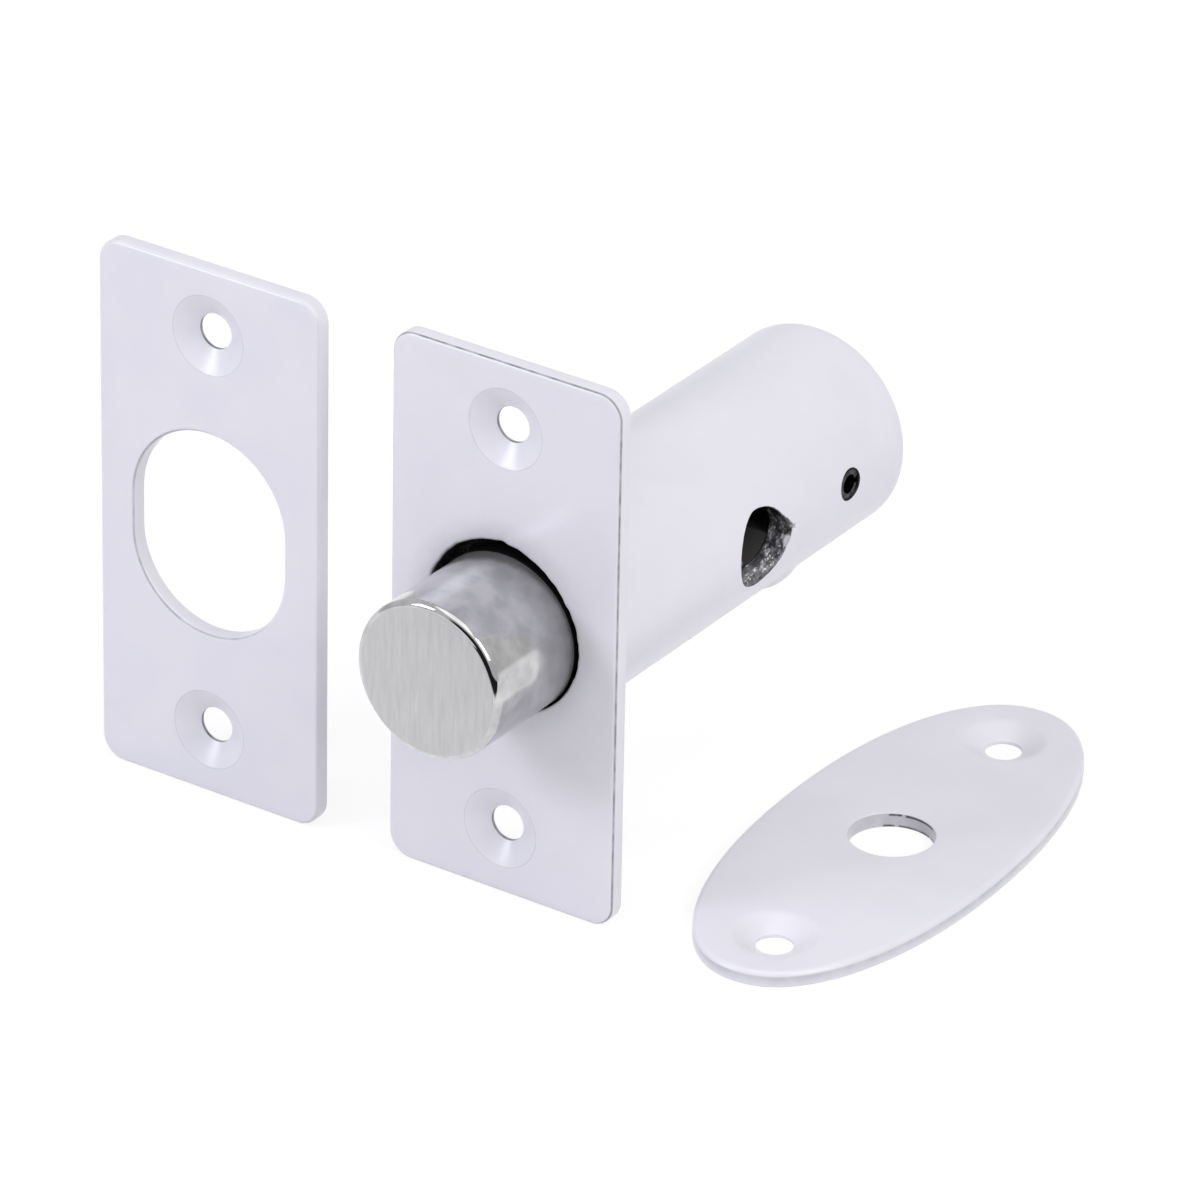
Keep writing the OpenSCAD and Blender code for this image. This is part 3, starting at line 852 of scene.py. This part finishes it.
# The stop pin is rolled from spring steel strip and driven through the housing. The bowed
# friction spring in the bolt's top is cut from thinner strip. Both are one bend of a strip.
PIN_LENGTH = 21.1
PIN_R = 1.5
PIN_WALL = 0.5
PIN_SLOT_W = 0.7
LEAF_Y = 21.35
LEAF_LENGTH = 14.0
LEAF_W = 3.0
LEAF_T = 0.3
LEAF_TOP_Z = 8.164
LEAF_FLOOR_Z = 6.85
LEAF_CLEAR = 0.03
BEND_STEPS = 72


# Spring steel keeps the dark skin of its tempering, a little blue-grey and mottled.
def tempered_steel(name):
    made, tree = new_material(name)
    spot = add_node(tree, "ShaderNodeTexCoord").outputs["Object"]
    skin = add_node(tree, "ShaderNodeTexNoise", {"Vector": spot, "Scale": per_mm(1.5), "Detail": 3})
    colour = add_node(tree, "ShaderNodeValToRGB", {"Fac": skin.outputs["Fac"]},
                      stops=((0.35, linear("#262528")), (0.65, linear("#4C4B4F"))))
    surface = add_node(tree, "ShaderNodeBsdfPrincipled", {
        "Base Color": colour.outputs["Color"], "Metallic": 1, "Roughness": 0.35})
    add_node(tree, "ShaderNodeOutputMaterial", {"Surface": surface.outputs[0]})
    return made


def bent_strip(material):
    """Node tree for a strip that is bent round an arc, whose ends are a start and a sweep apart."""
    tree = bpy.data.node_groups.new("Bent strip", "GeometryNodeTree")
    for name in ("Width", "Thickness", "Bend radius", "Start", "Sweep"):
        tree.interface.new_socket(name, in_out="INPUT", socket_type="NodeSocketFloat")
    tree.interface.new_socket("Place", in_out="INPUT", socket_type="NodeSocketVector")
    tree.interface.new_socket("Strip", in_out="OUTPUT", socket_type="NodeSocketGeometry")
    given = add_node(tree, "NodeGroupInput").outputs
    bend = add_node(tree, "GeometryNodeCurveArc", {
        "Resolution": BEND_STEPS, "Radius": given["Bend radius"],
        "Start Angle": given["Start"], "Sweep Angle": given["Sweep"]})
    section = add_node(tree, "GeometryNodeCurvePrimitiveQuadrilateral", {
        "Width": given["Thickness"], "Height": given["Width"]})
    strip = add_node(tree, "GeometryNodeCurveToMesh", {
        "Curve": bend.outputs["Curve"], "Profile Curve": section.outputs["Curve"], "Fill Caps": True})
    placed = add_node(tree, "GeometryNodeTransform", {
        "Geometry": strip.outputs["Mesh"], "Translation": given["Place"],
        "Rotation": (0, math.radians(90), 0)})
    real = add_node(tree, "GeometryNodeRealizeInstances", {"Geometry": placed.outputs["Geometry"]})
    covered = add_node(tree, "GeometryNodeSetMaterial", {
        "Geometry": real.outputs["Geometry"], "Material": material})
    add_node(tree, "NodeGroupOutput", {"Strip": covered.outputs["Geometry"]})
    return tree


strip_tree = bent_strip(tempered_steel("tempered_spring_steel"))
slot_half = math.asin(PIN_SLOT_W / 2 / (PIN_R - PIN_WALL / 2))
stop_pin = grown("Stop_pin", strip_tree, bpy.data.meshes.new("Pin_base"), {
    "Width": PIN_LENGTH * MM, "Thickness": PIN_WALL * MM, "Bend radius": (PIN_R - PIN_WALL / 2) * MM,
    "Start": math.radians(90) + slot_half, "Sweep": math.radians(360) - 2 * slot_half,
    "Place": (0, PIN_Y * MM, PIN_Z * MM)})
leaf_rise = LEAF_TOP_Z - LEAF_FLOOR_Z - LEAF_CLEAR - LEAF_T
bow_r = ((LEAF_LENGTH / 2) ** 2 + leaf_rise ** 2) / (2 * leaf_rise)
bow_half = math.asin(LEAF_LENGTH / 2 / (bow_r + LEAF_T / 2))
friction_spring = grown("Friction_spring", strip_tree, bpy.data.meshes.new("Leaf_base"), {
    "Width": LEAF_W * MM, "Thickness": LEAF_T * MM, "Bend radius": (bow_r + LEAF_T / 2) * MM,
    "Start": math.radians(180) - bow_half, "Sweep": 2 * bow_half,
    "Place": (0, LEAF_Y * MM, (LEAF_TOP_Z - LEAF_T - bow_r) * MM)})
for piece, node, body in ((stop_pin, "stop_pin", "case"), (friction_spring, "friction_spring", "bolt")):
    mesh = bmesh.new()
    mesh.from_mesh(piece.data)
    bmesh.ops.recalc_face_normals(mesh, faces=mesh.faces)
    smooth_rounds(mesh)
    mesh.to_mesh(piece.data)
    mesh.free()
    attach(piece, body)
    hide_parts(node)

# The set stands and lies on a plain white table in a white room. Seen straight on, or in the
# metal, both are white, and the table has a faint shadow; they bounce plain light on the object.
# Only the low front of the room is dark, and only in the metal: the bolt's bright rim mirrors it.
TABLE_REACH = 3000
DARK_X = -34
DARK_Y = -72
DARKEST_Y = -88


def any_ray(tree, *kinds):
    """One for a ray of any of the kinds, nought for any other."""
    path = add_node(tree, "ShaderNodeLightPath").outputs
    found = path[kinds[0]]
    for kind in kinds[1:]:
        found = add_node(tree, "ShaderNodeMath", {0: found, 1: path[kind]}, operation="MAXIMUM").outputs[0]
    return found


table_paint, tree = new_material("white_table_top")
bounce = add_node(tree, "ShaderNodeBsdfDiffuse", {"Color": linear("#E0E0E0")})
spot = add_node(tree, "ShaderNodeTexCoord").outputs["Object"]
spot = add_node(tree, "ShaderNodeSeparateXYZ", {"Vector": spot})
far = add_node(tree, "ShaderNodeMapRange", {
    "Value": spot.outputs["Y"], "From Min": DARKEST_Y * MM, "From Max": DARK_Y * MM,
    "To Min": 1, "To Max": 0})
aside = add_node(tree, "ShaderNodeMath", {0: spot.outputs["X"], 1: DARK_X * MM}, operation="GREATER_THAN")
dark = add_node(tree, "ShaderNodeMath", {0: far.outputs[0], 1: aside.outputs[0]}, operation="MULTIPLY")
dark = add_node(tree, "ShaderNodeMath", {0: dark.outputs[0], 1: any_ray(tree, "Is Glossy Ray")},
                operation="MULTIPLY")
glow = add_node(tree, "ShaderNodeEmission", {"Color": linear("#FFFFFF"), "Strength": 0.801})
faint = add_node(tree, "ShaderNodeBsdfDiffuse", {"Color": linear("#8B8B8B")})
white = add_node(tree, "ShaderNodeAddShader", {0: glow.outputs[0], 1: faint.outputs[0]})
shade = add_node(tree, "ShaderNodeEmission", {"Color": linear("#FFFFFF"), "Strength": 0.02})
seen = add_node(tree, "ShaderNodeMixShader", {
    0: dark.outputs[0], 1: white.outputs[0], 2: shade.outputs[0]})
surface = add_node(tree, "ShaderNodeMixShader", {
    0: any_ray(tree, "Is Camera Ray", "Is Glossy Ray", "Is Transmission Ray"),
    1: bounce.outputs[0], 2: seen.outputs[0]})
add_node(tree, "ShaderNodeOutputMaterial", {"Surface": surface.outputs[0]})
table_data = bpy.data.meshes.new("Table")
corners = [(sx * TABLE_REACH * MM, sy * TABLE_REACH * MM, FLOOR_Z * MM)
           for sx, sy in ((-1, -1), (1, -1), (1, 1), (-1, 1))]
table_data.from_pydata(corners, [], [(0, 1, 2, 3)])
table_data.materials.append(table_paint)
table = bpy.data.objects.new("Table", table_data)
bpy.context.scene.collection.objects.link(table)

DARK_WAY = (0.2, -0.975, 0.1)
DARK_EDGE = (0.865, 0.895)
world = bpy.data.worlds.new("plain_white_room")
bpy.context.scene.world = world
world.use_nodes = True
world.node_tree.nodes.clear()
tree = world.node_tree
way = add_node(tree, "ShaderNodeTexCoord").outputs["Generated"]
dark_side = add_node(tree, "ShaderNodeVectorMath", {0: way, 1: DARK_WAY}, operation="DOT_PRODUCT")
shine = add_node(tree, "ShaderNodeMapRange", {
    "Value": dark_side.outputs["Value"], "From Min": DARK_EDGE[0], "From Max": DARK_EDGE[1],
    "To Min": 0.68, "To Max": 0.02})
room = add_node(tree, "ShaderNodeBackground", {"Color": linear("#F8F8FF"), "Strength": 0.51})
mirrored = add_node(tree, "ShaderNodeBackground", {
    "Color": linear("#FFFFFF"), "Strength": shine.outputs[0]})
backdrop = add_node(tree, "ShaderNodeBackground", {"Color": linear("#FFFFFF"), "Strength": 1})
lit = add_node(tree, "ShaderNodeMixShader", {
    0: any_ray(tree, "Is Glossy Ray"), 1: room.outputs[0], 2: mirrored.outputs[0]})
mixed = add_node(tree, "ShaderNodeMixShader", {
    0: any_ray(tree, "Is Camera Ray", "Is Transmission Ray"), 1: lit.outputs[0], 2: backdrop.outputs[0]})
add_node(tree, "ShaderNodeOutputWorld", {"Surface": mixed.outputs[0]})

# Soft lamps stand well clear of the set: a small one low in front on the left, whose soft shadow
# falls right of the bolt, one on the key's side, and a large one overhead.
LAMP_DISTANCE = 1000


def soft_lamp(name, azimuth, elevation, power, size, colour):
    lamp = bpy.data.lights.new(name, "AREA")
    lamp.energy = power
    lamp.size = size * MM
    lamp.color = linear(colour)[:3]
    made = bpy.data.objects.new(name, lamp)
    a, e = math.radians(azimuth), math.radians(elevation)
    towards = Vector((math.sin(a) * math.cos(e), -math.cos(a) * math.cos(e), math.sin(e)))
    made.location = (LAMP_DISTANCE * MM) * towards
    made.rotation_euler = towards.to_track_quat("Z", "Y").to_euler()
    bpy.context.scene.collection.objects.link(made)


soft_lamp("Front_lamp", -38, 26, 3.0, 300, "#F0F0FF")
soft_lamp("Side_lamp", 80, 38, 3.5, 500, "#FFFFFF")
soft_lamp("Top_lamp", 20, 75, 2.4, 900, "#FFFFFF")

# The camera has a long lens and looks down on the set, placed so that the forend plate's face
# falls where the photograph shows it.
AZIMUTH = math.radians(33.90)
ELEVATION = math.radians(28.16)
ROLL = math.radians(1.107)
DISTANCE = 896.74
FRAME_PX = 1200
FOCUS_PX = 9402
SENSOR_MM = 36
FACE_PX = Vector((502.69, 631.13))
back = Vector((math.sin(AZIMUTH) * math.cos(ELEVATION), -math.cos(AZIMUTH) * math.cos(ELEVATION),
               math.sin(ELEVATION)))
level = Vector((math.cos(AZIMUTH), math.sin(AZIMUTH), 0))
upright = back.cross(level)
right = math.cos(ROLL) * level + math.sin(ROLL) * upright
up = math.cos(ROLL) * upright - math.sin(ROLL) * level
offset = (FACE_PX - Vector((FRAME_PX, FRAME_PX)) / 2) * DISTANCE / FOCUS_PX
place = Vector((0, -PLATE_T, 0)) + DISTANCE * back - offset.x * right + offset.y * up
camera_data = bpy.data.cameras.new("Camera")
camera_data.sensor_width = SENSOR_MM
camera_data.lens = FOCUS_PX * SENSOR_MM / FRAME_PX
camera_data.clip_end = 100
camera = bpy.data.objects.new("Camera", camera_data)
turned = [[*row, at * MM] for row, at in zip(zip(right, up, back), place)]
camera.matrix_world = Matrix(turned + [[0, 0, 0, 1]])
bpy.context.scene.collection.objects.link(camera)
bpy.context.scene.camera = camera
bpy.context.scene.view_settings.view_transform = "Standard"
